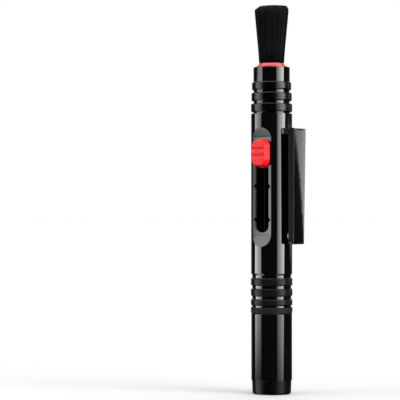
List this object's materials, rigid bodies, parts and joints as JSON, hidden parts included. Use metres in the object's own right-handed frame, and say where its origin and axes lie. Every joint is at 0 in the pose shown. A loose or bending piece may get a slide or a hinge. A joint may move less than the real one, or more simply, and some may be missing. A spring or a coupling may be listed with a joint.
{
  "type": "lens cleaning pen",
  "caption": "Pocket pen for cleaning lenses, with a slide-out soft brush at one end and a capped carbon cleaning tip at the other.",
  "frame": {"origin": "centre of the cap's flat end, on the pen's axis", "axes": "+Z along the pen to the brush, -Y is the side of the thumb slider, +X is the side of the pocket clip"},
  "size_m": [0.0197, 0.0165, 0.139],
  "materials": {
    "barrel_gloss": "polished black",
    "clip_gloss": "polished black",
    "grip_rubber": "matt, finely speckled",
    "holder_satin": "satin black",
    "cap_gloss": "polished black",
    "plug_satin": "satin black",
    "red_plastic": "semi-gloss red",
    "hair": "soft black hair",
    "resin": "amber resin",
    "spring_steel": "bright spring strip",
    "friction_rubber": "matt",
    "soft_neck": "soft matt",
    "cup_plastic": "matt",
    "cushion_foam": "closed-cell foam",
    "carbon_chamois": "carbon-coated chamois",
    "carbon_foam": "carbon-loaded foam"
  },
  "bodies": {
    "barrel": {"barrel": "barrel_gloss", "tip_holder": "holder_satin", "tip_neck": "soft_neck", "tip_cup": "cup_plastic", "tip_cushion": "cushion_foam", "carbon_pad": "carbon_chamois", "lower_grip_ring_1": "grip_rubber", "lower_grip_ring_2": "grip_rubber", "lower_grip_ring_3": "grip_rubber", "upper_grip_ring_1": "grip_rubber", "upper_grip_ring_2": "grip_rubber", "upper_grip_ring_3": "grip_rubber"},
    "brush": {"brush_carrier": "red_plastic", "brush_ferrule": "red_plastic", "bristle_root_plug": "resin", "brush_bristles": "hair", "thumb_slider": "red_plastic", "detent_spring": "spring_steel"},
    "clip": {"pocket_clip": "clip_gloss"},
    "cap_ring": {"cap_friction_ring": "friction_rubber"},
    "cap": {"cap_shell": "cap_gloss", "cap_end_plug": "plug_satin", "carbon_sponge": "carbon_foam"}
  },
  "joints": [
    {"name": "brush_slide", "type": "slide", "parent": "barrel", "child": "brush", "axis": [0, 0, -1], "range_m": [0, 0.0238], "deforming": ["brush_bristles", "detent_spring"]},
    {"name": "clip_flex", "type": "hinge", "parent": "barrel", "child": "clip", "pos_m": [0.0069, 0, 0.09389], "axis": [0, -1, 0], "range_deg": [0, 5], "stiffness_Nm_per_rad": 1.5},
    {"name": "cap_twist", "type": "hinge", "parent": "barrel", "child": "cap_ring", "pos_m": [0, 0, 0.025], "axis": [0, 0, 1], "continuous": true},
    {"name": "cap_pull", "type": "slide", "parent": "cap_ring", "child": "cap", "axis": [0, 0, -1], "range_m": [0, 0.03]}
  ]
}
